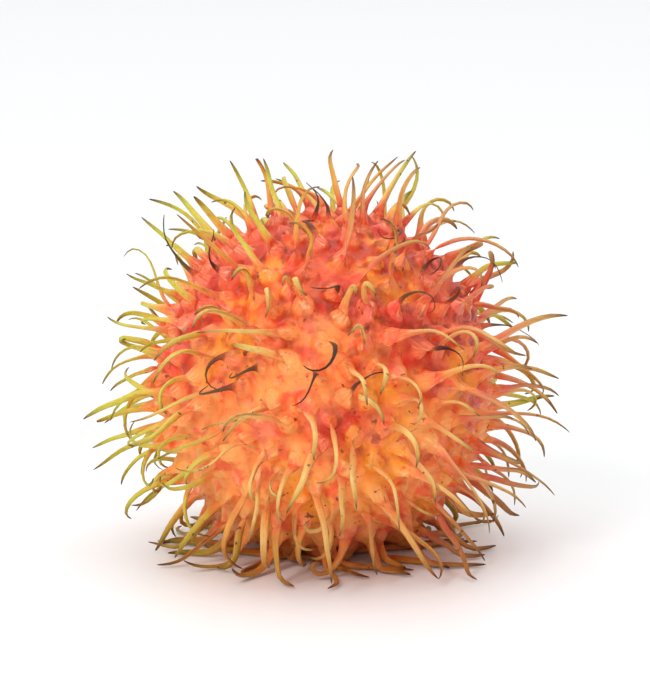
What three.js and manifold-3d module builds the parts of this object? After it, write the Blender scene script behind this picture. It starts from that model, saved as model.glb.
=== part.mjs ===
// A whole rambutan, as picked: one oval fruit whose leathery skin carries hundreds of soft spines, with a
// short stub of woody stalk at its far end. Millimetres, +Z up. The fruit lies on its side, its apex towards
// -Y and its stalk towards +Y, and rests on a small flat spot whose centre is the origin.
import * as THREE from "three";
import { mergeVertices } from "three/addons/utils/BufferGeometryUtils.js";
import Module from "manifold-3d";

// ---- driving dimensions ----
const fruitWidth = 37.6; // across X, without the spines
const fruitLength = 42; // along Y, from apex to stalk
const fruitHeight = 39.6; // along Z, before the underside is flattened
const stalkEndSwell = 0.04; // how much fuller the stalk end is than the middle, and the apex slimmer
const flatSpotWidth = 7.5; // across the spot that the fruit rests on
const skinFineness = 4; // subdivisions of each edge of the skin's icosahedron

const placeCount = 384; // places for spines over the whole skin
const thinnedBy = 4; // one place in this many carries none, which keeps the model light
const placeJitter = 0.045; // how far a place strays from its even spacing, as a share of the half size
const bareHeight = 0.5; // no spine is rooted lower than this
const bareAroundStalk = 3.6; // nor nearer than this to the stalk's axis

const spineLength = 10.6;
const spineLengthSpread = 0.28; // either way
const spineSteps = 12; // equal steps that a spine grows in
const spineRings = [0, 2, 5, 9, 12]; // the steps at which the faceted spine has a ring
const spineRadii = [1.75, 0.75, 0.45, 0.38, 0]; // at those rings: a broad foot, a slim strand and a point
const spineSides = 3;
const rootDepth = 1; // how far a spine's foot is sunk into the skin

const sweepBack = 0.7; // the most that a spine leans away from the apex
const lean = 0.42; // the most that it leans to any side
const droop = 0.07; // how fast its tip sinks under its own weight, per step
const bow = 0.18; // the most that it bends in a step, in radians
const waves = 2; // the most half waves in that bend
const hook = 1; // the most that its last step turns, in radians
const downCurl = 0.6; // how much its curling favours the ground
const strandClearance = 0.2; // between two strands
const strandHeight = 0.4; // of a strand's centre line where it lies on the ground

const stalkWidth = 2.8;
const stalkLength = 5; // beyond the skin
const stalkLift = 14; // degrees above the horizontal
const stalkSocketDepth = 2;
const stalkClearance = 0.3;
const stalkSides = 12;
// The stub's waist and its knob at the cut: shares of its half width and of its length beyond the skin.
const stalkOutline = [
  [1, 0.2],
  [0.84, 0.5],
  [0.9, 0.94],
  [0.78, 1],
];
const mergeDistance = 1e-4; // corners nearer than this are one

// ---- worked out from them ----
const halfSize = new THREE.Vector3(fruitWidth, fruitLength, fruitHeight).multiplyScalar(0.5);
const centreHeight = halfSize.z * Math.sqrt(1 - (flatSpotWidth / fruitWidth) ** 2);
const fruitCentre = new THREE.Vector3(0, 0, centreHeight);
const xAxis = new THREE.Vector3(1, 0, 0);
const yAxis = new THREE.Vector3(0, 1, 0);
const zAxis = new THREE.Vector3(0, 0, 1);
const stalkAxis = yAxis.clone().applyAxisAngle(xAxis, THREE.MathUtils.degToRad(stalkLift));
const goldenAngle = Math.PI * (3 - Math.sqrt(5));

const wasm = await Module();
wasm.setup();

// ---- seeded random numbers: a Lehmer sequence ----
const multiplier = 48271;
const modulus = 2 ** 31 - 1;
let drawn = 2711;
// The next number of the sequence, from 0 to 1.
function draw() {
  drawn = (drawn * multiplier) % modulus;
  return drawn / modulus;
}
// The next number, from -1 to 1.
function drawSigned() {
  return 2 * draw() - 1;
}
function drawVector() {
  return new THREE.Vector3(drawSigned(), drawSigned(), drawSigned());
}

// ---- geometry to solids and back ----
function solidOf(geometry) {
  geometry.deleteAttribute("normal");
  geometry.deleteAttribute("uv");
  const merged = mergeVertices(geometry, mergeDistance);
  const vertProperties = merged.attributes.position.array;
  const triVerts = new Uint32Array(merged.index.array);
  return new wasm.Manifold(new wasm.Mesh({ numProp: 3, vertProperties, triVerts }));
}
function geometryOf(solid) {
  const { vertProperties, triVerts } = solid.getMesh();
  const geometry = new THREE.BufferGeometry();
  geometry.setAttribute("position", new THREE.BufferAttribute(vertProperties, 3));
  geometry.setIndex(new THREE.BufferAttribute(triVerts, 1));
  return geometry;
}
// Moves each vertex of a geometry to where place(vertex) says.
function reshape(geometry, place) {
  const positions = geometry.attributes.position;
  const vertex = new THREE.Vector3();
  for (let i = 0; i < positions.count; i++) {
    const placed = place(vertex.fromBufferAttribute(positions, i));
    positions.setXYZ(i, placed.x, placed.y, placed.z);
  }
  return geometry;
}

// ---- skin ----
// The point of the skin in a direction from the fruit's centre.
function skinPoint(direction) {
  const swell = 1 + stalkEndSwell * direction.y;
  const shape = new THREE.Vector3(direction.x * swell, direction.y, direction.z * swell);
  return shape.multiply(halfSize).add(fruitCentre);
}
function skinNormal(direction) {
  return direction.clone().divide(halfSize).normalize();
}
function skinSolid() {
  const ball = new THREE.IcosahedronGeometry(1, skinFineness);
  const skin = reshape(ball, (vertex) => skinPoint(vertex.clone().normalize()));
  const ground = new THREE.BoxGeometry(2 * fruitWidth, 2 * fruitLength, fruitHeight);
  ground.translate(0, 0, -fruitHeight / 2);
  return solidOf(skin).subtract(solidOf(ground));
}

// ---- spines ----
// The directions from the fruit's centre in which spines are rooted: a jittered spiral from apex to stalk.
function spineDirections() {
  const directions = [];
  for (let i = 0; i < placeCount; i++) {
    const y = (2 * i + 1) / placeCount - 1;
    const ring = Math.sqrt(1 - y * y);
    const turn = i * goldenAngle;
    const even = new THREE.Vector3(ring * Math.cos(turn), y, ring * Math.sin(turn));
    directions.push(even.addScaledVector(drawVector(), placeJitter).normalize());
  }
  return directions.filter((direction, i) => {
    if ((i + 1) % thinnedBy === 0) return false;
    const offStalk = halfSize.y * Math.sin(direction.angleTo(stalkAxis));
    return skinPoint(direction).z > bareHeight && (direction.y < 0 || offStalk > bareAroundStalk);
  });
}
// A spine's radius at a step, between its rings.
function radiusAt(step) {
  const ring = Math.max(1, spineRings.findIndex((k) => k >= step));
  const share = (step - spineRings[ring - 1]) / (spineRings[ring] - spineRings[ring - 1]);
  return THREE.MathUtils.lerp(spineRadii[ring - 1], spineRadii[ring], share);
}
// The point pushed out of the skin and clear of the strands grown so far.
function keptClear(point, radius, grown) {
  const fromCentre = point.clone().sub(fruitCentre);
  const depth = fromCentre.clone().divide(halfSize).length();
  const outside = 1 + (radius + strandClearance) / halfSize.x;
  if (depth < outside) point.copy(fruitCentre).addScaledVector(fromCentre, outside / depth);
  for (const other of grown) {
    const gap = radius + other.radius + strandClearance;
    const distance = point.distanceTo(other.point);
    if (distance < gap) point.addScaledVector(point.clone().sub(other.point), gap / distance - 1);
  }
}
// Grows one spine from the skin, step by step, and gives the point and radius at each step.
function growSpine(direction, grown) {
  const normal = skinNormal(direction);
  const step = (spineLength * (1 + spineLengthSpread * drawSigned())) / spineSteps;
  const back = yAxis.clone().addScaledVector(normal, -normal.y);
  const heading = normal.clone().addScaledVector(back, sweepBack * draw());
  heading.addScaledVector(drawVector(), lean);
  const curlAxis = new THREE.Vector3().crossVectors(zAxis, heading).multiplyScalar(downCurl);
  curlAxis.add(drawVector()).normalize();
  const bowHere = bow * drawSigned();
  const wavesHere = waves * draw();
  const hookHere = hook * draw();
  const point = skinPoint(direction);
  const spine = [{ point: point.clone(), radius: spineRadii[0] }];
  for (let k = 1; k <= spineSteps; k++) {
    const share = k / spineSteps;
    const turn = bowHere * Math.cos(wavesHere * share * Math.PI) + hookHere * share ** 3;
    heading.applyAxisAngle(curlAxis, turn);
    heading.z -= droop * share;
    heading.normalize();
    if (point.z + heading.z * step < strandHeight) {
      const rise = (strandHeight - point.z) / step;
      heading.z = 0;
      heading.setLength(Math.sqrt(Math.max(0, 1 - rise ** 2)));
      heading.z = rise;
    }
    point.addScaledVector(heading, step);
    const radius = radiusAt(k);
    if (k > spineRings[1]) keptClear(point, radius, grown);
    point.z = Math.max(point.z, strandHeight);
    spine.push({ point: point.clone(), radius });
  }
  return spine;
}
// A few-sided cone bent along a grown spine, its foot sunk into the skin.
function spineSolid(spine, normal) {
  const lastRing = spineRings.length - 1;
  const frames = spineRings.map((k, ring) => {
    const after = spine[spineRings[Math.min(ring + 1, lastRing)]].point;
    const before = spine[spineRings[Math.max(ring - 1, 0)]].point;
    const along = ring === 0 ? normal : after.clone().sub(before).normalize();
    const across = new THREE.Vector3().crossVectors(along, zAxis).normalize();
    return { centre: spine[k].point, across, over: new THREE.Vector3().crossVectors(across, along) };
  });
  frames[0].centre = spine[0].point.clone().addScaledVector(normal, -rootDepth);
  const cone = new THREE.ConeGeometry(1, 1, spineSides, lastRing);
  return solidOf(
    reshape(cone, (vertex) => {
      const ring = Math.round((vertex.y + 0.5) * lastRing);
      const widen = ring === lastRing ? 0 : spineRadii[ring] / (1 - ring / lastRing);
      const { centre, across, over } = frames[ring];
      const placed = centre.clone().addScaledVector(across, vertex.x * widen);
      placed.addScaledVector(over, vertex.z * widen);
      placed.z = Math.max(placed.z, 0);
      return placed;
    }),
  );
}
function spineSolids() {
  const grown = [];
  return spineDirections().map((direction) => {
    const spine = growSpine(direction, grown);
    grown.push(...spine);
    return spineSolid(spine, skinNormal(direction));
  });
}
// Skin and spines as one body. Where crossing spines seal a hollow between them, it is filled.
function fruitSolid() {
  const fused = wasm.Manifold.union([skinSolid(), ...spineSolids()]).subtract(stalkSocket());
  return fused.decompose().reduce((best, body) => (body.volume() > best.volume() ? body : best));
}

// ---- stalk ----
// A turned piece on the stalk's axis. Its profile is a list of [radius, distance beyond the skin].
function turnedOnStalk(profile) {
  const points = profile.map(([radius, along]) => new THREE.Vector2(radius, along));
  const turned = new THREE.LatheGeometry(points, stalkSides);
  turned.applyQuaternion(new THREE.Quaternion().setFromUnitVectors(yAxis, stalkAxis));
  const foot = skinPoint(stalkAxis);
  return turned.translate(foot.x, foot.y, foot.z);
}
function stalkSocket() {
  const radius = stalkWidth / 2 + stalkClearance;
  const bottom = -stalkSocketDepth - stalkClearance;
  return solidOf(turnedOnStalk([[0, bottom], [radius, bottom], [radius, stalkLength], [0, stalkLength]]));
}
function stalkGeometry() {
  const radius = stalkWidth / 2;
  return turnedOnStalk([
    [0, -stalkSocketDepth],
    [radius, -stalkSocketDepth],
    ...stalkOutline.map(([width, along]) => [width * radius, along * stalkLength]),
    [0, stalkLength],
  ]);
}

// ---- assembly ----
const skinMaterial = new THREE.MeshStandardMaterial({ color: 0xf0643c, roughness: 0.5, metalness: 0 });
const stalkMaterial = new THREE.MeshStandardMaterial({ color: 0x6b5233, roughness: 0.85, metalness: 0 });
const fruit = new THREE.Mesh(geometryOf(fruitSolid()), skinMaterial);
const stalk = new THREE.Mesh(stalkGeometry(), stalkMaterial);
fruit.name = "fruit";
stalk.name = "stalk";

const rambutan = new THREE.Group();
rambutan.add(fruit, stalk);
export default rambutan;
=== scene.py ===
# A whole rambutan lying on a pale floor: spiny skin, stub of stalk, soft studio light and a camera.
import random
from math import acos, cos, pi, radians, sin, sqrt, tau

import bmesh
import bpy
import numpy as np
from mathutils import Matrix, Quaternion, Vector, noise
from mathutils.kdtree import KDTree


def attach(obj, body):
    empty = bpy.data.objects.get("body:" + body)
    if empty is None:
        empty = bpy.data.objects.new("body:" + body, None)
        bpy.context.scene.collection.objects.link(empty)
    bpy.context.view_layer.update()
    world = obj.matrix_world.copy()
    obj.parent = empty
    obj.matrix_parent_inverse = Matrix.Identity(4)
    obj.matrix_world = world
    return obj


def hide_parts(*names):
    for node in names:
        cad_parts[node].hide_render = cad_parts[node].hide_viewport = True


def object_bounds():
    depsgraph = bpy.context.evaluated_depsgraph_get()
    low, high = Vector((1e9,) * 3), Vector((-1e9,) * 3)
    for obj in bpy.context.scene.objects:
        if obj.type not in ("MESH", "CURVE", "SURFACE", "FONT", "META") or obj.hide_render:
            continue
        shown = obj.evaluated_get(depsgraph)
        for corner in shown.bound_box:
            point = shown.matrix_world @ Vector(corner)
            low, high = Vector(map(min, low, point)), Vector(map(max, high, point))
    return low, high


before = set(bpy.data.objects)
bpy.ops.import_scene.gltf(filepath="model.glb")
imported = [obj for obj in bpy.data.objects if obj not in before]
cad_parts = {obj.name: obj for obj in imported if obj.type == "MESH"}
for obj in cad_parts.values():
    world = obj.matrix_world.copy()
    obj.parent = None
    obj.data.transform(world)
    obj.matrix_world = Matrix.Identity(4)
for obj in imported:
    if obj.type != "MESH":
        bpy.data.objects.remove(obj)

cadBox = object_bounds()
mm = 0.001
xAxis, yAxis, zAxis = Vector((1, 0, 0)), Vector((0, 1, 0)), Vector((0, 0, 1))


def lerp(a, b, share):
    return a + (b - a) * share


def deselectAll():
    if bpy.context.object and bpy.context.object.mode != "OBJECT":
        bpy.ops.object.mode_set(mode="OBJECT")
    bpy.ops.object.select_all(action="DESELECT")


def subdivide(piece, levels):
    modifier = piece.modifiers.new("Subdivision", "SUBSURF")
    modifier.levels = modifier.render_levels = levels
    deselectAll()
    piece.select_set(True)
    bpy.context.view_layer.objects.active = piece
    bpy.ops.object.modifier_apply(modifier=modifier.name)
    bpy.ops.object.shade_smooth()


# The form of the fruit and its spines, in millimetres. It is the same as the solids', and so is the rule
# by which the spines grow, from the same draws in the same order.
fruitForm = {
    "width": 37.6,  # across X, without the spines
    "length": 42,  # along Y, from apex to stalk
    "height": 39.6,  # along Z, before the underside is flattened
    "stalkEndSwell": 0.04,  # how much fuller the stalk end is than the middle, and the apex slimmer
    "flatSpotWidth": 7.5,  # across the spot that the fruit rests on
    "stalkLift": 14,  # degrees above the horizontal
}
spineForm = {
    "seed": 2711,
    "places": 384,  # over the whole skin
    "thinnedBy": 4,  # the solid leaves out one place in this many, and those are grown last here
    "placeJitter": 0.045,  # how far a place strays from its even spacing, as a share of the half size
    "bareHeight": 0.5,  # no spine is rooted lower than this
    "bareAroundStalk": 3.6,  # nor nearer than this to the stalk's axis
    "length": 10.6,
    "lengthSpread": 0.28,  # either way
    "steps": 12,  # equal steps that a spine grows in
    "rings": [0, 2, 5, 9, 12],  # the steps at which the solid's spine has a ring
    "radii": [1.75, 0.75, 0.45, 0.38, 0],  # at those rings
    "sweepBack": 0.7,  # the most that a spine leans away from the apex
    "lean": 0.42,  # the most that it leans to any side
    "droop": 0.07,  # how fast its tip sinks under its own weight, per step
    "bow": 0.18,  # the most that it bends in a step, in radians
    "waves": 2,  # the most half waves in that bend
    "hook": 1,  # the most that its last step turns, in radians
    "downCurl": 0.6,  # how much its curling favours the ground
    "clearance": 0.2,  # between two strands
    "searchMargin": 2,  # beyond that clearance, where other strands are looked for
    "strandHeight": 0.4,  # of a strand's centre line where it lies on the ground
}
halfSize = Vector((fruitForm["width"], fruitForm["length"], fruitForm["height"])) / 2
flatShare = fruitForm["flatSpotWidth"] / fruitForm["width"]
fruitCentre = Vector((0, 0, halfSize.z * sqrt(1 - flatShare**2)))
stalkAxis = Quaternion(xAxis, radians(fruitForm["stalkLift"])) @ yAxis


# Seeded draws: a Lehmer sequence.
class LehmerDraws:
    multiplier, modulus = 48271, 2**31 - 1

    def __init__(self, seed):
        self.drawn = seed

    def draw(self):  # from 0 to 1
        self.drawn = (self.drawn * self.multiplier) % self.modulus
        return self.drawn / self.modulus

    def signed(self):  # from -1 to 1
        return 2 * self.draw() - 1

    def vector(self):
        return Vector((self.signed(), self.signed(), self.signed()))


def timesParts(a, b):
    return Vector(p * q for p, q in zip(a, b))


def overParts(a, b):
    return Vector(p / q for p, q in zip(a, b))


# The point of the skin in a direction from the fruit's centre.
def skinPoint(direction):
    swell = 1 + fruitForm["stalkEndSwell"] * direction.y
    shape = Vector((direction.x * swell, direction.y, direction.z * swell))
    return timesParts(shape, halfSize) + fruitCentre


# The point of the skin nearest to any point, near enough.
def onSkin(point):
    shape = overParts(point - fruitCentre, halfSize)
    swell = 1 + fruitForm["stalkEndSwell"] * shape.y
    return skinPoint(Vector((shape.x / swell, shape.y, shape.z / swell)).normalized())


def skinNormal(direction):
    return overParts(direction, halfSize).normalized()


# The directions in which spines are rooted: a jittered spiral from apex to stalk.
def spineDirections(draws):
    goldenAngle = pi * (3 - sqrt(5))
    places = spineForm["places"]
    directions = []
    for i in range(places):
        y = (2 * i + 1) / places - 1
        ring = sqrt(1 - y * y)
        turn = i * goldenAngle
        even = Vector((ring * cos(turn), y, ring * sin(turn)))
        directions.append((even + draws.vector() * spineForm["placeJitter"]).normalized())

    def spiny(direction):
        offStalk = halfSize.y * sin(acos(direction.dot(stalkAxis)))
        clearOfStalk = direction.y < 0 or offStalk > spineForm["bareAroundStalk"]
        return skinPoint(direction).z > spineForm["bareHeight"] and clearOfStalk

    first = [d for i, d in enumerate(directions) if (i + 1) % spineForm["thinnedBy"]]
    last = directions[spineForm["thinnedBy"] - 1 :: spineForm["thinnedBy"]]
    return [direction for direction in first + last if spiny(direction)]


# The point pushed out of the skin and clear of the strands grown so far.
def keptClear(point, radius, grownPoints, grownRadii):
    fromCentre = point - fruitCentre
    depth = overParts(fromCentre, halfSize).length
    outside = 1 + (radius + spineForm["clearance"]) / halfSize.x
    if depth < outside:
        point = fruitCentre + fromCentre * (outside / depth)
    if not len(grownPoints):
        return point
    gaps = radius + grownRadii + spineForm["clearance"]
    distances = np.linalg.norm(grownPoints - np.array(point), axis=1)
    near = distances < gaps + spineForm["searchMargin"]
    for other, gap in zip(grownPoints[near], gaps[near]):
        away = point - Vector(other)
        if away.length < gap:
            point = point + away * (gap / away.length - 1)
    return point


# Grows one spine from the skin, step by step.
def growSpine(direction, draws, grownPoints, grownRadii):
    form = spineForm
    normal = skinNormal(direction)
    step = form["length"] * (1 + form["lengthSpread"] * draws.signed()) / form["steps"]
    back = yAxis - normal * normal.y
    heading = normal + back * (form["sweepBack"] * draws.draw())
    heading += draws.vector() * form["lean"]
    curlAxis = (zAxis.cross(heading) * form["downCurl"] + draws.vector()).normalized()
    bowHere = form["bow"] * draws.signed()
    wavesHere = form["waves"] * draws.draw()
    hookHere = form["hook"] * draws.draw()
    point = skinPoint(direction)
    points, ownRadii = [point], [form["radii"][0]]
    for k in range(1, form["steps"] + 1):
        share = k / form["steps"]
        turn = bowHere * cos(wavesHere * share * pi) + hookHere * share**3
        heading = Quaternion(curlAxis, turn) @ heading
        heading.z -= form["droop"] * share
        heading.normalize()
        if point.z + heading.z * step < form["strandHeight"]:
            rise = (form["strandHeight"] - point.z) / step
            level = Vector((heading.x, heading.y, 0)).normalized()
            heading = level * sqrt(max(0, 1 - rise**2))
            heading.z = rise
        point = point + heading * step
        radius = float(np.interp(k, form["rings"], form["radii"]))
        if k > form["rings"][1]:
            point = keptClear(point, radius, grownPoints, grownRadii)
        point = Vector((point.x, point.y, max(point.z, form["strandHeight"])))
        points.append(point)
        ownRadii.append(radius)
    return {"points": points, "radii": ownRadii, "normal": normal, "curlAxis": curlAxis}


def growSpines():
    draws = LehmerDraws(spineForm["seed"])
    grownPoints, grownRadii = np.zeros((0, 3)), np.zeros(0)
    spines = []
    for direction in spineDirections(draws):
        spine = growSpine(direction, draws, grownPoints, grownRadii)
        grownPoints = np.vstack([grownPoints, [tuple(p) for p in spine["points"]]])
        grownRadii = np.append(grownRadii, spine["radii"])
        spines.append(spine)
    print("grown", len(spines), "spines")
    return spines


# Skin and spines as one mesh. A foot opens round each root and is pulled out ring by ring: the first
# rings make the mound that it stands on, and the others the strand.
skinLook = {
    "seed": 53,
    "footShare": 45,  # percent of the way to the next root that a spine's foot reaches
    "valleyDepth": (0.1, 0.4),  # of the lines where the feet meet, low on the fruit and at its top
    "ringSteps": [0.1, 0.6, 1.3, 2.4, 4.0, 6.0, 8.1, 10.2, 12.0],  # along a spine, in its steps
    "moundRings": 4,  # how many of those rings are the mound's
    "halfWidths": [1.7, 1.35, 0.95, 0.64, 0.48, 0.39, 0.35, 0.28, 0.06],  # at those rings
    "flatness": [1.0, 0.9, 0.78, 0.7, 0.64, 0.6, 0.62, 0.68, 1.0],  # how much thinner the other way
    "upright": [1, 0.8, 0.55, 0.25, 0.1, 0, 0, 0, 0],  # how far each ring faces as the skin does
    "footShape": [1, 0.8, 0.5, 0.15, 0, 0, 0, 0, 0],  # how far it keeps the outline of its foot
    "footReach": [0.88, 0.7, 0.5, 0.34, 0, 0, 0, 0, 0],  # and how much of the foot's width
    "headingReach": 0.4,  # how far ahead and back along a spine its heading is taken, in steps
    "broadHold": 0.3,  # how strongly a strand's broad side keeps facing the same way
    "kink": 0.16,  # how far a strand strays sideways between its ends
    "moundSpread": 0.22,  # how much the mounds differ in width
    "widthSpread": 0.28,  # and the strands
    "lowHeight": 12,  # strands rooted lower than this are wider
    "lowSwell": 0.5,  # by this share, where they are lowest
    "grainSpread": 60,  # how far two spines' streaks may be apart in their pattern
    "witheredCount": 20,
    "witheredAbove": 20,  # the height above which a spine may be withered
    "witheredBefore": -2,  # and how far forward, along Y
    "witheredColour": (0.85, 1),  # how far its colour has gone, at least and at most
    "witheredKnot": [1, 0.82, 0.5, 0.6, 0.58, 0.42, 0.38, 0.42, 0.9],  # times the half widths
    "witheredFrom": 3,  # the step from which it is shorter and curled
    "witheredLength": 0.82,  # of what it was
    "witheredCurl": 0.17,  # more in each step, in radians
    "witheredClearance": 0.4,  # from its centre line to the skin
    "stalkRim": [(2.5, 0.1), (2.15, 0.5), (1.75, 0.45), (1.5, 0.1), (1.45, -1.6)],  # radius, height
    "flatSpotInset": 0.8,  # the ring that keeps the flat spot flat, as a share of its width
    "smoothing": 1,  # levels of subdivision
    "lumpDepth": 0.28,  # of the skin's soft lumps
    "lumpSize": 2.2,
    "fineLumps": (2.6, 0.45),  # how many times finer the lumps on those are, and how deep beside them
    "lumpReach": 0.3,  # the share of a spine's length over which the lumps fade
    "lumpFloor": 1,  # no lump is lower than this
}
chance = random.Random(skinLook["seed"])  # for what only changes the looks


# The path of a spine as a smooth curve through its grown points.
def alongPath(points, step):
    k = min(int(step), len(points) - 2)
    share = step - k
    rest = 1 - share
    before, start = points[max(k - 1, 0)], points[k]
    end, after = points[k + 1], points[min(k + 2, len(points) - 1)]
    bend = (end - before) * (share * rest**2) - (after - start) * (share**2 * rest)
    return start * rest**2 * (1 + 2 * share) + end * share**2 * (3 - 2 * share) + bend / 2


# The same path dried up: shorter and curled.
def shrivelled(spine):
    look, points = skinLook, spine["points"]
    curled = points[: look["witheredFrom"]]
    for k in range(look["witheredFrom"], len(points)):
        turn = look["witheredCurl"] * (k + 1 - look["witheredFrom"])
        step = Quaternion(spine["curlAxis"], turn) @ (points[k] - points[k - 1])
        point = curled[-1] + step * look["witheredLength"]
        curled.append(keptClear(point, look["witheredClearance"], [], []))
    return curled


# The same points drawn in towards the root, so that none is above a height.
def keptUnder(points, height):
    root, highest = points[0], max(point.z for point in points)
    if highest <= height:
        return points
    share = (height - root.z) / (highest - root.z)
    return [root + (point - root) * share for point in points]


# The cross sections of a spine at its rings: where each is, which ways it faces and its widths.
def spineSections(spine):
    look, points = skinLook, spine["points"]
    lastRing = len(look["ringSteps"]) - 1
    across, over = spine["tangents"]
    before, broad = spine["normal"], spine["curlAxis"]
    sections = []
    for ring, step in enumerate(look["ringSteps"]):
        onMound = ring < look["moundRings"]
        further = alongPath(points, min(step + look["headingReach"], spineForm["steps"]))
        ahead = (further - alongPath(points, step - look["headingReach"])).normalized()
        ahead = ahead.lerp(spine["normal"], look["upright"][ring]).normalized()
        turn = before.rotation_difference(ahead)
        across, over, before = turn @ across, turn @ over, ahead
        broad = turn @ broad + spine["curlAxis"] * look["broadHold"]
        broad = (broad - ahead * broad.dot(ahead)).normalized()
        narrow = ahead.cross(broad)
        centre = alongPath(points, step)
        if not onMound and ring < lastRing:
            stray = broad * chance.uniform(-1, 1) + narrow * chance.uniform(-1, 1)
            centre += stray * look["kink"]
        width = look["halfWidths"][ring] * (spine["mound"] if onMound else spine["width"])
        if spine["withered"]:
            width *= look["witheredKnot"][ring]
        sections.append({
            "centre": centre, "tangents": (across, over), "broad": broad, "narrow": narrow,
            "wide": width, "thin": width * look["flatness"][ring],
        })
    return sections


def plainTangents(normal):
    across = normal.cross(zAxis).normalized()
    return across, across.cross(normal)


def outwardsAt(tangents, around):
    across, over = tangents
    return across * cos(around) + over * sin(around)


# A point given in millimetres as a place for a vertex, and none under the ground.
def vertexPlace(point):
    return Vector((point.x, point.y, max(point.z, 0))) * mm


# One vertex for each root, joined up as the tightest skin round them, and each then opened into a foot.
# Gives the skin, the places where the feet's corners should be, and the root of each.
def layFeet(roots):
    deselectAll()
    bpy.ops.mesh.primitive_circle_add(vertices=len(roots), radius=halfSize.x * mm)
    skin = bpy.context.object
    skin.name = "spiny_skin"
    rootPlaces = KDTree(len(roots))
    for i, (vertex, root) in enumerate(zip(skin.data.vertices, roots)):
        vertex.co = root["point"] * mm
        rootPlaces.insert(vertex.co, i)
    rootPlaces.balance()
    bpy.ops.object.mode_set(mode="EDIT")
    bpy.ops.mesh.select_all(action="SELECT")
    bpy.ops.mesh.convex_hull(join_triangles=False)
    bpy.ops.mesh.select_all(action="SELECT")
    bpy.ops.mesh.normals_make_consistent(inside=False)
    bm = bmesh.from_edit_mesh(skin.data)
    corners, owners = KDTree(2 * len(bm.edges)), []
    for edge in bm.edges:
        one, other = edge.verts
        for here, there in ((one, other), (other, one)):
            corners.insert(here.co.lerp(there.co, skinLook["footShare"] / 100), len(owners))
            owners.append(rootPlaces.find(here.co)[1])
    corners.balance()
    bpy.ops.mesh.bevel(affect="VERTICES", offset_type="PERCENT", offset_pct=skinLook["footShare"])
    return skin, corners, owners


# Even turns round a root for the corners of its foot, and how far each corner is turned from its own.
def evenTurns(root, offsets):
    across, over = root["tangents"]
    spacing = tau / len(offsets)
    turns = [np.arctan2(p.dot(over), p.dot(across)) - spacing * k for k, p in enumerate(offsets)]
    first = float(np.angle(sum(np.exp(1j * turn) for turn in turns)))
    strays = [float(np.angle(np.exp(1j * (turn - first)))) for turn in turns]
    return [(first + spacing * k, stray) for k, stray in enumerate(strays)]


# Finds each root's foot, sets its corners on the skin and notes each corner's place round it.
def shapeFeet(skin, corners, owners, roots):
    bm = bmesh.from_edit_mesh(skin.data)
    for name in ("around", "turned", "reach", "alongSpine", "tone", "withered", "edge"):
        bm.verts.layers.float.new(name)
    floats, grain = bm.verts.layers.float, bm.verts.layers.float_vector.new("grain")
    rootOf, footOf = bm.verts.layers.int.new("rootOf"), bm.faces.layers.int.new("footOf")
    for vertex in bm.verts:
        vertex[rootOf] = owners[corners.find(vertex.co)[1]]
    for face in bm.faces:
        found = {vertex[rootOf] for vertex in face.verts}
        face[footOf] = found.pop() if len(found) == 1 else -1
        if face[footOf] < 0:
            continue
        root = roots[face[footOf]]
        offsets = [vertex.co / mm - root["point"] for vertex in face.verts]
        for vertex, offset, (around, turned) in zip(face.verts, offsets, evenTurns(root, offsets)):
            vertex[floats["around"]], vertex[floats["turned"]] = around, turned
            vertex[floats["reach"]] = offset.length
            vertex[floats["tone"]], vertex[floats["withered"]] = root["tone"], root["withered"]
            vertex[grain] = (cos(around), sin(around), root["tone"] * skinLook["grainSpread"])
            if root["kind"] == "rest":
                point = outwardsAt(root["tangents"], around) * (fruitForm["flatSpotWidth"] / 2)
            else:
                point = onSkin(vertex.co / mm)
                depth = lerp(*skinLook["valleyDepth"], point.z / fruitForm["height"])
                point += (fruitCentre - point).normalized() * depth
            vertex.co = vertexPlace(point)
    bmesh.update_edit_mesh(skin.data)
    print("laid", sum(face[footOf] >= 0 for face in bm.faces), "feet for", len(roots), "roots")


# Pulls the feet of one kind out of the skin, ring by ring.
def pullRings(skin, roots, kind, rings, placeRing):
    bm = bmesh.from_edit_mesh(skin.data)
    footOf = bm.faces.layers.int["footOf"]
    for face in bm.faces:
        face.select_set(False)
    for face in bm.faces:
        if face[footOf] >= 0 and roots[face[footOf]]["kind"] == kind:
            face.select_set(True)
    bmesh.update_edit_mesh(skin.data)
    for ring in range(rings):
        bpy.ops.mesh.extrude_region()
        bm = bmesh.from_edit_mesh(skin.data)
        rootOf, floats = bm.verts.layers.int["rootOf"], bm.verts.layers.float
        for vertex in bm.verts:
            if vertex.select:
                corner = [vertex[floats[name]] for name in ("around", "turned", "reach")]
                point, share, edge = placeRing(roots[vertex[rootOf]], ring, *corner)
                vertex.co = vertexPlace(point)
                vertex[floats["alongSpine"]], vertex[floats["edge"]] = share, edge
        bmesh.update_edit_mesh(skin.data)


# Each of these gives a corner's point, its share of the spine's length and its place across the strand.
def placeOnSpine(spine, ring, around, turned, reach):
    section = spine["sections"][ring]
    kept = skinLook["footShape"][ring]
    outwards = outwardsAt(section["tangents"], around + turned * kept)
    onBroad, onNarrow = outwards.dot(section["broad"]), outwards.dot(section["narrow"])
    offset = section["broad"] * (onBroad * section["wide"])
    offset += section["narrow"] * (onNarrow * section["thin"])
    offset = offset.lerp(outwards * (reach * skinLook["footReach"][ring]), kept)
    return section["centre"] + offset, skinLook["ringSteps"][ring] / spineForm["steps"], onBroad


def placeOnRim(rim, ring, around, turned, reach):
    radius, height = skinLook["stalkRim"][ring]
    outwards = outwardsAt(rim["tangents"], around)
    return rim["point"] + outwards * radius + stalkAxis * height, 0, 0


def placeOnFlatSpot(spot, ring, around, turned, reach):
    radius = fruitForm["flatSpotWidth"] / 2 * skinLook["flatSpotInset"]
    return outwardsAt(spot["tangents"], around) * radius, 0, 0


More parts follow.
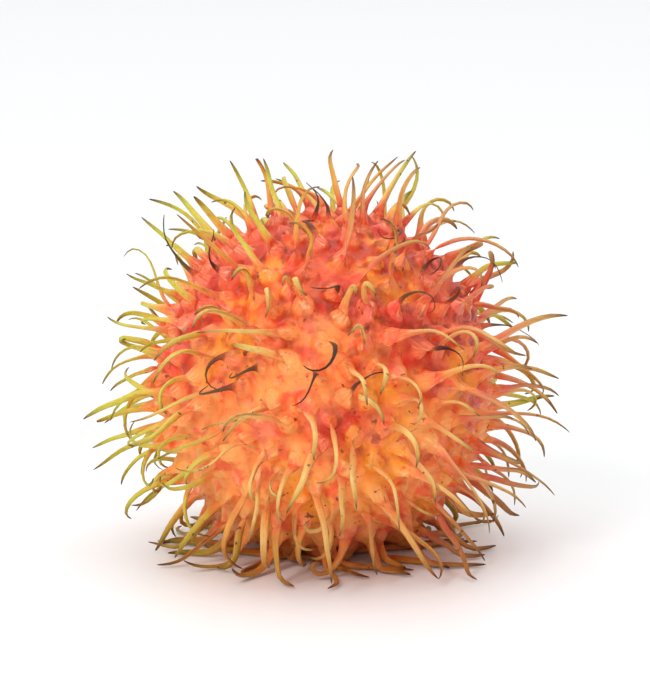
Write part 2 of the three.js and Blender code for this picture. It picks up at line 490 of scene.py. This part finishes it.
# Soft lumps in the skin and its mounds, and none in the strands.
def raiseLumps(skin):
    look = skinLook
    fineness, fineDepth = look["fineLumps"]
    alongSpine = skin.data.attributes["alongSpine"].data
    normals = [vertex.normal.copy() for vertex in skin.data.vertices]
    for vertex, normal, along in zip(skin.data.vertices, normals, alongSpine):
        share = 1 - along.value / look["lumpReach"]
        if share > 0 and vertex.co.z > look["lumpFloor"] * mm:
            place = vertex.co / (look["lumpSize"] * mm)
            lump = noise.noise(place) + fineDepth * noise.noise(place * fineness)
            vertex.co += normal * (lump * share * look["lumpDepth"] * mm)


# Gives each spine its own colour and width, withers some and works out their cross sections.
def dressSpines(spines):
    look = skinLook
    for spine in spines:
        spine["kind"], spine["point"] = "spine", spine["points"][0]
        spine["tangents"] = plainTangents(spine["normal"])
        spine["tone"], spine["withered"] = chance.random(), 0.0
        spine["mound"] = 1 + chance.uniform(-1, 1) * look["moundSpread"]
        lowness = max(0, 1 - spine["point"].z / look["lowHeight"])
        spine["width"] = 1 + chance.uniform(-1, 1) * look["widthSpread"] + lowness * look["lowSwell"]
    upperFront = [
        spine for spine in spines
        if spine["point"].z > look["witheredAbove"] and spine["point"].y < look["witheredBefore"]
    ]
    for spine in chance.sample(upperFront, look["witheredCount"]):
        spine["withered"] = chance.uniform(*look["witheredColour"])
        spine["points"] = shrivelled(spine)
    for spine in spines:
        spine["points"] = keptUnder(spine["points"], cadBox[1][2] / mm)
        spine["sections"] = spineSections(spine)
    print("withered", look["witheredCount"], "spines of", len(upperFront), "at the upper front")


def makeSkin(spines):
    plain = {"tone": 0.5, "withered": 0.0}
    rimTangents = plainTangents(stalkAxis)
    rim = {"kind": "rim", "point": skinPoint(stalkAxis), "tangents": rimTangents, **plain}
    spot = {"kind": "rest", "point": Vector((0, 0, 0)), "tangents": (yAxis, xAxis), **plain}
    roots = [*spines, rim, spot]
    skin, corners, owners = layFeet(roots)
    shapeFeet(skin, corners, owners, roots)
    pullRings(skin, roots, "spine", len(skinLook["ringSteps"]), placeOnSpine)
    pullRings(skin, roots, "rim", len(skinLook["stalkRim"]), placeOnRim)
    pullRings(skin, roots, "rest", 1, placeOnFlatSpot)
    bpy.ops.object.mode_set(mode="OBJECT")
    subdivide(skin, skinLook["smoothing"])
    raiseLumps(skin)
    skin.data.calc_loop_triangles()
    print("skin has", len(skin.data.loop_triangles), "triangles")
    return skin


# A colour given as on a screen, 0 to 255, as the light it stands for.
def paint(red, green, blue):
    parts = [value / 255 for value in (red, green, blue)]
    return (*[p / 12.92 if p <= 0.04045 else ((p + 0.055) / 1.055) ** 2.4 for p in parts], 1)


# Gives a node's input a value, or the socket that feeds it.
def feed(tree, socket, value):
    if isinstance(value, bpy.types.NodeSocket):
        tree.links.new(value, socket)
    else:
        socket.default_value = value


def addNode(tree, kind, inputs, **settings):
    node = tree.nodes.new(kind)
    for name, value in settings.items():
        setattr(node, name, value)
    for name, value in inputs.items():
        feed(tree, node.inputs[name], value)
    return node


def calculate(tree, operation, first, second=0.0, third=0.0):
    inputs = {0: first, 1: second, 2: third}
    return addNode(tree, "ShaderNodeMath", inputs, operation=operation).outputs[0]


def times(tree, first, second):
    return calculate(tree, "MULTIPLY", first, second)


def timesPlus(tree, first, second, added):
    return calculate(tree, "MULTIPLY_ADD", first, second, added)


def larger(tree, first, second):
    return calculate(tree, "MAXIMUM", first, second)


# From 0 to 1 as the value goes from low to high.
def ramp(tree, value, low, high):
    inputs = {"Value": value, "From Min": low, "From Max": high}
    return addNode(tree, "ShaderNodeMapRange", inputs, interpolation_type="SMOOTHSTEP").outputs[0]


# The colour inputs of a Mix node share their names with others, so they are found by number.
def mixed(tree, share, first, second, blend="MIX"):
    inputs = {0: share, 6: first, 7: second}
    return addNode(tree, "ShaderNodeMix", inputs, data_type="RGBA", blend_type=blend).outputs[2]


def colourRamp(tree, value, stops):
    node = addNode(tree, "ShaderNodeValToRGB", {"Fac": value})
    elements = node.color_ramp.elements
    while len(elements) < len(stops):
        elements.new(0.5)
    for element, (place, colour) in zip(elements, stops):
        element.position, element.color = place, paint(*colour)
    return node.outputs[0]


def attribute(tree, name, output="Fac"):
    return addNode(tree, "ShaderNodeAttribute", {}, attribute_name=name).outputs[output]


def objectPlace(tree):
    return addNode(tree, "ShaderNodeTexCoord", {}).outputs["Object"]


def mapped(tree, place, **mapping):
    return addNode(tree, "ShaderNodeMapping", {"Vector": place, **mapping}).outputs[0]


def cloudy(tree, place, scale, detail):
    inputs = {"Vector": place, "Scale": scale, "Detail": detail}
    return addNode(tree, "ShaderNodeTexNoise", inputs).outputs["Fac"]


def bumped(tree, height, depth, **below):
    inputs = {"Strength": 1.0, "Distance": depth, "Height": height, **below}
    return addNode(tree, "ShaderNodeBump", inputs).outputs["Normal"]


def newGroup(name, inputs, output):
    group = bpy.data.node_groups.new(name, "ShaderNodeTree")
    for socket, (kind, value) in inputs.items():
        group.interface.new_socket(socket, in_out="INPUT", socket_type=kind).default_value = value
    group.interface.new_socket(output[0], in_out="OUTPUT", socket_type=output[1])
    return group, group.nodes.new("NodeGroupInput").outputs, group.nodes.new("NodeGroupOutput").inputs


# Soft irregular patches: a mask from 0 to 1.
def makePatches():
    inputs = {
        "Patches per metre": ("NodeSocketFloat", 100.0),
        "Detail": ("NodeSocketFloat", 3.0),
        "Low": ("NodeSocketFloat", 0.4),
        "High": ("NodeSocketFloat", 0.6),
        "Shift": ("NodeSocketFloat", 0.0),
    }
    group, given, result = newGroup("patches", inputs, ("Mask", "NodeSocketFloat"))
    shifted = addNode(group, "ShaderNodeVectorMath", {0: objectPlace(group), 1: given["Shift"]}).outputs[0]
    clouds = cloudy(group, shifted, given["Patches per metre"], given["Detail"])
    feed(group, result["Mask"], ramp(group, clouds, given["Low"], given["High"]))
    return group


# Fine wrinkles and pores as a bump.
def makeWrinkles():
    inputs = {
        "Wrinkles per metre": ("NodeSocketFloat", 900.0),
        "Detail": ("NodeSocketFloat", 4.0),
        "Stretch": ("NodeSocketVector", (1.0, 1.0, 1.0)),
        "Depth": ("NodeSocketFloat", 0.0002),
    }
    group, given, result = newGroup("wrinkles", inputs, ("Normal", "NodeSocketVector"))
    stretched = mapped(group, objectPlace(group), Scale=given["Stretch"])
    height = cloudy(group, stretched, given["Wrinkles per metre"], given["Detail"])
    feed(group, result["Normal"], bumped(group, height, given["Depth"]))
    return group


patchesGroup, wrinklesGroup = makePatches(), makeWrinkles()


def patches(tree, perMetre, low, high, shift, detail):
    inputs = {"Patches per metre": perMetre, "Detail": detail, "Low": low, "High": high, "Shift": shift}
    return addNode(tree, "ShaderNodeGroup", inputs, node_tree=patchesGroup).outputs["Mask"]


def wrinkles(tree, perMetre, depth, stretch=(1, 1, 1)):
    inputs = {"Wrinkles per metre": perMetre, "Depth": depth, "Stretch": stretch}
    return addNode(tree, "ShaderNodeGroup", inputs, node_tree=wrinklesGroup).outputs["Normal"]


def newMaterial(name):
    material = bpy.data.materials.new(name)
    material.use_nodes = True
    return material, material.node_tree, material.node_tree.nodes["Principled BSDF"]


# Heights go from 0 at the ground to 1 at the top, and strands from 0 at the foot to 1 at the tip.
rindLook = {
    "skinByHeight": [
        (0.0, (250, 170, 82)),
        (0.4, (254, 166, 88)),
        (0.7, (242, 112, 50)),
        (1.0, (228, 86, 40)),
    ],
    "moundByHeight": [
        (0.0, (255, 186, 98)),
        (0.45, (255, 176, 98)),
        (0.75, (250, 138, 90)),
        (1.0, (246, 128, 94)),
    ],
    "rightSideShade": 0.26,  # how much further up those ramps, towards darker red, the right side is than the middle, as painted shade
    "leftShare": 0.25,  # and the left side, as a share of that
    "drift": 0.5,  # how far patches stray up and down them
    "goldenStrand": [
        (0.1, (240, 116, 62)),
        (0.25, (244, 148, 74)),
        (0.45, (242, 180, 78)),
        (0.7, (220, 162, 56)),
        (0.9, (154, 104, 42)),
        (1.0, (76, 48, 30)),
    ],
    "greenStrand": [
        (0.1, (236, 98, 56)),
        (0.22, (234, 146, 62)),
        (0.38, (224, 200, 78)),
        (0.7, (200, 200, 62)),
        (0.9, (156, 144, 46)),
        (1.0, (74, 54, 28)),
    ],
    "pinkStrand": [
        (0.1, (232, 82, 64)),
        (0.3, (228, 112, 80)),
        (0.5, (216, 144, 92)),
        (0.75, (194, 150, 78)),
        (0.92, (144, 106, 52)),
        (1.0, (72, 48, 30)),
    ],
    "creamStrand": [
        (0.1, (246, 134, 78)),
        (0.35, (250, 172, 96)),
        (0.6, (248, 204, 122)),
        (0.85, (210, 164, 78)),
        (1.0, (110, 74, 42)),
    ],
    "withered": [
        (0.14, (160, 78, 48)),
        (0.25, (88, 48, 38)),
        (0.38, (44, 31, 29)),
        (0.7, (36, 27, 26)),
        (1.0, (24, 18, 17)),
    ],
    # Colours laid over those, and how strongly.
    "laidOver": {
        "amber": ((248, 152, 28), 1),
        "pink": ((250, 116, 106), 0.5),
        "rose": ((242, 66, 40), 0.65),
        # cream: dots on the mounds, and a painted highlight on the lightest streaks
        "cream": ((255, 206, 140), 0.6),
        # painted shade in the creases where the mounds meet
        "crease": ((138, 50, 30), 0.4),
        # patches of painted shade in the valleys
        "bruise": ((150, 58, 30), 1),
        "brownEdge": ((128, 76, 34), 1),
        # a painted highlight along one edge of a strand
        "paleEdge": ((252, 214, 140), 0.4),
        "speck": ((104, 50, 32), 0.8),
    },
    "valleyShadePatchByHeight": (0.05, 0.65),  # how strong the patches of painted valley shade are low on the fruit, and how much more above
    "brownEdgeByGreen": (0.75, -0.5),  # the same for brown edges on other strands and on green ones
    # Painted shade, which multiplies what is there: in the valleys between the mounds, low and high on the
    # fruit, and near the ground. The first also darkens streaks along the strands.
    "lowValleyShadeAndStrandStreak": (255, 226, 206),
    "highValleyShade": (222, 142, 104),
    "paintedGroundShade": (214, 180, 152),
    "groundShade": 11,  # how high the last one reaches, in millimetres
    # Where something starts and where it is full: first along a spine, from its foot to its tip.
    "ramps": {
        "streaks": (0.004, 0.03),
        "mound": (-0.06, 0.14),
        "creamDots": (0, 0.08),
        # The next three place painted shade: in the valleys, in creases, and in patches of the valleys.
        "valleys": (0.03, 0),
        "creases": (0.012, 0),
        "bruises": (0.12, 0),
        "strand": (0.13, 0.3),
        "withered": (0.15, 0.28),
        # how the painted highlight on a strand's edge fades towards the tip
        "paleEdgeLength": (0.95, 0.7),
        # Across a strand, from -1 at one edge to 1 at the other.
        "brownEdge": (0.6, 1),
        # where the painted highlight lies across a strand
        "paleEdge": (-0.4, -1),
        # By how light a streak is.
        "moundStreaks": (0.35, 0.58),
        # streaks light enough for the painted highlight
        "creamStreaks": (0.57, 0.7),
        "darkStreaks": (0.45, 0.25),
        # By where on the fruit it is, and by the spine's own tone.
        "upper": (0.4, 0.75),
        "greener": (0.7, 1.2),
        "pinker": (0.8, 1.3),
        "creamier": (-0.65, -1.2),
    },
    # Patches: how many there are per metre, where the mask starts and is full, its shift and its detail.
    "patches": {
        "drift": (90, 0.3, 0.7, 0.0, 3),
        "amber": (130, 0.5, 0.64, 3.1, 3),
        "rose": (300, 0.55, 0.66, 9.4, 3),
        "roseDots": (850, 0.6, 0.7, 14.2, 3),
        "pink": (220, 0.53, 0.64, 16.3, 4),
        "creamDots": (900, 0.58, 0.72, 11.8, 3),
        # The next three are masks of painted shade: in the valleys, in creases, and in patches of the
        # valleys.
        "valleys": (300, 0.38, 0.62, 4.6, 3),
        "creases": (300, 0.54, 0.62, 12.9, 3),
        "bruises": (480, 0.555, 0.63, 6.6, 4),
        "brownEdge": (400, 0.35, 0.55, 2.2, 3),
        "fineSpecks": (1300, 0.7, 0.74, 1.3, 1),
        "coarseSpecks": (560, 0.7, 0.73, 7.7, 4),
        "speckled": (170, 0.45, 0.6, 5.9, 2),
        "dried": (900, 0.3, 0.7, 8.1, 3),
        "gloss": (700, 0.3, 0.7, 5.0, 3),
    },
    "driedDrift": 0.1,  # how far the dark of a withered spine strays along it
    "streaksPerTurn": 3.4,
    "streakChange": 2.2,  # how far they change from foot to tip
    "streakDetail": 4,
    "streakDepth": 0.0002,
    "wrinkles": (1100, 0.0003),  # per metre, and their depth
    "roughness": 0.42,
    "roughnessSpread": 0.2,
    "shader": {
        "Specular IOR Level": 0.35,
        "Subsurface Weight": 0.2,
        "Subsurface Radius": (1.0, 0.35, 0.15),
        "Subsurface Scale": 0.0009,
    },
}


def rindMask(tree, name):
    return patches(tree, *rindLook["patches"][name])


def rindRamp(tree, value, name):
    return ramp(tree, value, *rindLook["ramps"][name])


# Lays one of the rind's colours over what is there.
def laidOver(tree, mask, under, name):
    colour, strength = rindLook["laidOver"][name]
    return mixed(tree, times(tree, mask, strength), under, paint(*colour))


# How far up the fruit's colour ramps a place is, with its sides moved up them as painted shade, the right
# most; how far out it is towards each side; and where the painted shade near the ground falls.
def rindPlace(tree):
    look = rindLook
    sides = addNode(tree, "ShaderNodeSeparateXYZ", {0: objectPlace(tree)}).outputs
    rightness = times(tree, sides["X"], 1 / (halfSize.x * mm))
    backness = times(tree, sides["Y"], 1 / (halfSize.y * mm))
    height = times(tree, sides["Z"], 1 / (fruitForm["height"] * mm))
    drift = timesPlus(tree, rindMask(tree, "drift"), look["drift"], -look["drift"] / 2)
    height = calculate(tree, "ADD", height, drift)
    # Painted shade on the sides: they are moved up the ramps to darker red, the right side most.
    sideShade = larger(tree, rightness, times(tree, rightness, -look["leftShare"]))
    height = timesPlus(tree, sideShade, look["rightSideShade"], height)
    # Painted shade near the ground, under the fruit.
    paintedGroundShade = ramp(tree, sides["Z"], look["groundShade"] * mm, 0)
    return height, rightness, backness, paintedGroundShade


# Streaks that run along each mound and strand, and fade to an even middle value in the valleys.
def rindStreaks(tree, along):
    middle = 0.5
    shift = times(tree, along, rindLook["streakChange"])
    location = addNode(tree, "ShaderNodeCombineXYZ", {"Z": shift}).outputs[0]
    place = mapped(tree, attribute(tree, "grain", "Vector"), Location=location)
    streaks = cloudy(tree, place, rindLook["streaksPerTurn"], rindLook["streakDetail"])
    streaks = calculate(tree, "SUBTRACT", streaks, middle)
    return timesPlus(tree, streaks, rindRamp(tree, along, "streaks"), middle)


def rindSkinColour(tree, height, along, streaks):
    rind = colourRamp(tree, height, rindLook["skinByHeight"])
    rind = laidOver(tree, rindMask(tree, "amber"), rind, "amber")
    mound = colourRamp(tree, height, rindLook["moundByHeight"])
    onMound = times(tree, rindRamp(tree, along, "mound"), rindRamp(tree, streaks, "moundStreaks"))
    rind = mixed(tree, onMound, rind, mound)
    rind = laidOver(tree, rindMask(tree, "pink"), rind, "pink")
    rosy = larger(tree, rindMask(tree, "rose"), rindMask(tree, "roseDots"))
    rind = laidOver(tree, rosy, rind, "rose")
    # Cream dots on the mounds, and a painted highlight on the lightest streaks.
    creamDotsAndHighlight = times(tree, rindMask(tree, "creamDots"), rindRamp(tree, along, "creamDots"))
    creamDotsAndHighlight = larger(tree, creamDotsAndHighlight, rindRamp(tree, streaks, "creamStreaks"))
    rind = laidOver(tree, creamDotsAndHighlight, rind, "cream")
    upper = rindRamp(tree, height, "upper")
    # Painted shade in the valleys between the mounds, darker high on the fruit.
    shade = mixed(tree, upper, *[paint(*rindLook[name]) for name in ("lowValleyShadeAndStrandStreak", "highValleyShade")])
    valleyShadeShare = times(tree, rindRamp(tree, along, "valleys"), rindMask(tree, "valleys"))
    rind = mixed(tree, valleyShadeShare, rind, shade, "MULTIPLY")
    # Painted shade in thin creases where the mounds meet, high on the fruit.
    creaseShadeShare = times(tree, rindMask(tree, "creases"), rindRamp(tree, along, "creases"))
    rind = laidOver(tree, times(tree, creaseShadeShare, upper), rind, "crease")
    # Patches of painted shade in the valleys, stronger high on the fruit.
    valleyShadePatchShare = times(tree, rindMask(tree, "bruises"), rindRamp(tree, along, "bruises"))
    low, more = rindLook["valleyShadePatchByHeight"]
    valleyShadePatchShare = times(tree, valleyShadePatchShare, timesPlus(tree, upper, more, low))
    return laidOver(tree, valleyShadePatchShare, rind, "bruise")


def rindStrandColour(tree, along, streaks, rightness, backness):
    tone, edge = attribute(tree, "tone"), attribute(tree, "edge")
    leftness = times(tree, rightness, -1)
    greener = calculate(tree, "ADD", tone, larger(tree, leftness, backness))
    greener = rindRamp(tree, greener, "greener")
    pinker = calculate(tree, "SUBTRACT", calculate(tree, "SUBTRACT", 1, tone), leftness)
    names = ("goldenStrand", "greenStrand", "pinkStrand", "creamStrand")
    golden, green, pink, cream = (colourRamp(tree, along, rindLook[name]) for name in names)
    strand = mixed(tree, rindRamp(tree, pinker, "pinker"), golden, pink)
    strand = mixed(tree, greener, strand, green)
    strand = mixed(tree, rindRamp(tree, backness, "creamier"), strand, cream)
    brownEdge = times(tree, rindRamp(tree, edge, "brownEdge"), rindMask(tree, "brownEdge"))
    others, more = rindLook["brownEdgeByGreen"]
    brownEdge = times(tree, brownEdge, timesPlus(tree, greener, more, others))
    strand = laidOver(tree, brownEdge, strand, "brownEdge")
    # A painted highlight along one edge of each strand, fading towards the tip.
    paleEdge = times(tree, rindRamp(tree, edge, "paleEdge"), rindRamp(tree, along, "paleEdgeLength"))
    strand = laidOver(tree, paleEdge, strand, "paleEdge")
    # Darker streaks along the strands, in the colour of the low painted valley shade.
    shade = paint(*rindLook["lowValleyShadeAndStrandStreak"])
    return mixed(tree, rindRamp(tree, streaks, "darkStreaks"), strand, shade, "MULTIPLY")


def makeRind():
    look = rindLook
    material, tree, shader = newMaterial("rambutan rind")
    height, rightness, backness, paintedGroundShade = rindPlace(tree)
    along = attribute(tree, "alongSpine")
    streaks = rindStreaks(tree, along)
    rind = rindSkinColour(tree, height, along, streaks)
    strand = rindStrandColour(tree, along, streaks, rightness, backness)
    colour = mixed(tree, rindRamp(tree, along, "strand"), rind, strand)
    fineSpecks = times(tree, rindMask(tree, "fineSpecks"), rindMask(tree, "speckled"))
    colour = laidOver(tree, larger(tree, fineSpecks, rindMask(tree, "coarseSpecks")), colour, "speck")
    # Painted shade near the ground.
    colour = mixed(tree, paintedGroundShade, colour, paint(*look["paintedGroundShade"]), "MULTIPLY")
    dried = timesPlus(tree, rindMask(tree, "dried"), look["driedDrift"], along)
    withered = times(tree, attribute(tree, "withered"), rindRamp(tree, dried, "withered"))
    colour = mixed(tree, withered, colour, colourRamp(tree, along, look["withered"]))
    feed(tree, shader.inputs["Base Color"], colour)
    smoothest = look["roughness"] - look["roughnessSpread"] / 2
    roughness = timesPlus(tree, rindMask(tree, "gloss"), look["roughnessSpread"], smoothest)
    feed(tree, shader.inputs["Roughness"], roughness)
    bump = bumped(tree, streaks, look["streakDepth"], Normal=wrinkles(tree, *look["wrinkles"]))
    feed(tree, shader.inputs["Normal"], bump)
    for name, value in look["shader"].items():
        shader.inputs[name].default_value = value
    print("rind has", len(tree.nodes), "nodes")
    return material


spines = growSpines()
dressSpines(spines)
skin = makeSkin(spines)
skin.data.materials.append(makeRind())
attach(skin, "root")
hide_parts("fruit")


# The stub of stalk, in millimetres: a waist, a knob and a cut end with its rings.
stalkLook = {
    "halfWidth": 1.4,
    "sides": 30,
    "profile": [  # along the stalk from the skin, and the share of its half width there
        (-1.8, 0.98), (-0.4, 1.0), (0.3, 1.0), (0.9, 0.94), (1.6, 0.84), (2.3, 0.8), (2.8, 0.84),
        (3.2, 1.0), (3.55, 1.04), (3.9, 0.94), (4.4, 0.84), (4.8, 0.84), (4.98, 0.78),
    ],
    "cutRings": [(5.0, 0.62), (4.9, 0.56), (4.86, 0.3), (4.8, 0.12)],  # the same on the cut end
    "cutSlope": 0.25,  # how far the cut end leans over
    "slopeFrom": 4,  # and from where along the stalk
    "smoothing": 2,  # levels of subdivision
    "barkDepth": 0.06,  # of its ridges
    "barkRidges": 7,  # round the stalk
    "ridgeWander": 1.4,  # how far round the ridges wander, in radians
    "wanderRate": 1.1,  # and how fast, along the stalk
    "barkLumps": 1.5,  # how high the lumps between them are, beside the ridges
    "lumpsRound": 2.2,  # how closely they follow each other round the stalk
    "lumpsAlong": 0.7,  # and along it
    "fibres": (1600, 5),  # per metre, and their detail
    "fibreStretch": (1, 0.18, 1),
    "bark": [(0.25, (58, 38, 26)), (0.5, (98, 68, 44)), (0.75, (140, 108, 74))],
    "lichen": (158, 148, 118),
    "lichenPatches": (700, 0.58, 0.66, 2.4, 3),
    "cut": [(0.3, (150, 112, 70)), (0.7, (196, 160, 110))],
    "cutFrom": (0.3, 0.8),  # where its colour starts and is full, over the edge of the cut
    "pith": (120, 84, 52),
    "pithPatches": (1500, 0.6, 0.7, 6.1, 3),
    "wrinkles": (1500, 0.0003, (1, 0.25, 1)),  # per metre, their depth and their stretch
    "roughness": 0.8,
}


# A point of the stalk's surface: how far along, how far round and how far out.
def stalkPoint(along, around, radius):
    outwards = outwardsAt(plainTangents(stalkAxis), around)
    return skinPoint(stalkAxis) + stalkAxis * along + outwards * radius


# How far the bark stands out: ridges that wander as they run along, with soft lumps.
def barkRelief(along, around):
    look = stalkLook
    wander = look["ridgeWander"] * sin(along * look["wanderRate"])
    ridge = sin(around * look["barkRidges"] + wander)
    roundness = look["lumpsRound"]
    lumpPlace = (cos(around) * roundness, sin(around) * roundness, along * look["lumpsAlong"])
    lump = noise.noise(Vector(lumpPlace))
    return (ridge + look["barkLumps"] * lump) * look["barkDepth"]


def makeStalk():
    look = stalkLook
    deselectAll()
    bpy.ops.mesh.primitive_circle_add(
        vertices=look["sides"], radius=look["halfWidth"] * mm, fill_type="NGON"
    )
    stalk = bpy.context.object
    stalk.name = "stalk_stub"
    bpy.ops.object.mode_set(mode="EDIT")
    bpy.ops.mesh.select_all(action="SELECT")
    bm = bmesh.from_edit_mesh(stalk.data)
    for name in ("around", "cutEnd"):
        bm.verts.layers.float.new(name)
    for k, vertex in enumerate(bm.verts):
        vertex[bm.verts.layers.float["around"]] = tau * k / look["sides"]
    bmesh.update_edit_mesh(stalk.data)
    rings = [(*ring, 0) for ring in look["profile"]] + [(*ring, 1) for ring in look["cutRings"]]
    for number, (along, share, onCut) in enumerate(rings):
        if number:
            bpy.ops.mesh.extrude_region()
        bm = bmesh.from_edit_mesh(stalk.data)
        floats = bm.verts.layers.float
        for vertex in bm.verts:
            if vertex.select:
                around = vertex[floats["around"]]
                radius = look["halfWidth"] * share + (0 if onCut else barkRelief(along, around))
                slope = look["cutSlope"] * cos(around) * radius / look["halfWidth"]
                slope *= max(0, along - look["slopeFrom"])
                vertex.co = stalkPoint(along + slope, around, radius) * mm
                vertex[floats["cutEnd"]] = onCut
        bmesh.update_edit_mesh(stalk.data)
    bpy.ops.mesh.select_all(action="SELECT")
    bpy.ops.mesh.normals_make_consistent(inside=False)
    bpy.ops.object.mode_set(mode="OBJECT")
    subdivide(stalk, look["smoothing"])
    print("stalk has", len(stalk.data.polygons), "faces")
    return stalk


def makeBark():
    look = stalkLook
    material, tree, shader = newMaterial("stalk bark")
    turned = (-radians(fruitForm["stalkLift"]), 0, 0)
    fibres = mapped(tree, objectPlace(tree), Rotation=turned, Scale=look["fibreStretch"])
    streaks = cloudy(tree, fibres, *look["fibres"])
    bark = colourRamp(tree, streaks, look["bark"])
    bark = mixed(tree, patches(tree, *look["lichenPatches"]), bark, paint(*look["lichen"]))
    cut = colourRamp(tree, streaks, look["cut"])
    cut = mixed(tree, patches(tree, *look["pithPatches"]), cut, paint(*look["pith"]))
    colour = mixed(tree, ramp(tree, attribute(tree, "cutEnd"), *look["cutFrom"]), bark, cut)
    feed(tree, shader.inputs["Base Color"], colour)
    feed(tree, shader.inputs["Normal"], wrinkles(tree, *look["wrinkles"]))
    shader.inputs["Roughness"].default_value = look["roughness"]
    print("bark has", len(tree.nodes), "nodes")
    return material


stalk = makeStalk()
stalk.data.materials.append(makeBark())
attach(stalk, "root")
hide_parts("stalk")


# Camera, floor and lights, in metres.
cameraView = {
    "azimuth": 0,
    "elevation": 10,
    "lens": 200,
    "distance": 0.455,
    "aimHeight": 0.0235,
    "clipStart": 0.01,
}
floorLook = {"size": 8, "colour": (0.92, 0.935, 0.945, 1), "roughness": 0.3}
lightSetup = {
    "lamps": {
        "overhead": {"place": (0.0, 0.5, 1.6), "size": 3.0, "watts": 40.5},
        "front": {"place": (-0.2, -1.4, 0.35), "size": 0.9, "watts": 3.2},
        "left": {"place": (-0.55, -0.75, 0.7), "size": 0.25, "watts": 5.0},
        "right": {"place": (0.8, -0.4, 0.4), "size": 0.6, "watts": 0.3},
    },
    "aim": (0, 0, 0.02),
    "world": 0.46,
    "worldColour": (1, 1, 1, 1),
}


# Turns a camera or lamp so that it looks along a direction.
def lookAlong(thing, direction):
    thing.rotation_mode = "QUATERNION"
    thing.rotation_quaternion = direction.to_track_quat("-Z", "Y")


def makeCamera():
    azimuth, elevation = radians(cameraView["azimuth"]), radians(cameraView["elevation"])
    aim = Vector((0, 0, cameraView["aimHeight"]))
    back = Vector((sin(azimuth) * cos(elevation), -cos(azimuth) * cos(elevation), sin(elevation)))
    bpy.ops.object.camera_add(location=aim + back * cameraView["distance"])
    camera = bpy.context.object
    lookAlong(camera, -back)
    camera.data.lens = cameraView["lens"]
    camera.data.clip_start = cameraView["clipStart"]
    bpy.context.scene.camera = camera


def makeFloor():
    bpy.ops.mesh.primitive_plane_add(size=floorLook["size"])
    floor = bpy.context.object
    floor.name = "floor"
    material, _, shader = newMaterial("pale floor")
    shader.inputs["Base Color"].default_value = floorLook["colour"]
    shader.inputs["Roughness"].default_value = floorLook["roughness"]
    floor.data.materials.append(material)


def makeLights():
    for name, setup in lightSetup["lamps"].items():
        place = Vector(setup["place"])
        bpy.ops.object.light_add(type="AREA", location=place)
        light = bpy.context.object
        light.name = name
        light.data.energy = setup["watts"]
        light.data.size = setup["size"]
        lookAlong(light, Vector(lightSetup["aim"]) - place)
    world = bpy.data.worlds.new("studio")
    world.use_nodes = True
    background = world.node_tree.nodes["Background"]
    background.inputs["Color"].default_value = lightSetup["worldColour"]
    background.inputs["Strength"].default_value = lightSetup["world"]
    bpy.context.scene.world = world
    bpy.context.scene.view_settings.view_transform = "Standard"
    print("set up the camera, the floor and", len(lightSetup["lamps"]), "lamps")


makeCamera()
makeFloor()
makeLights()
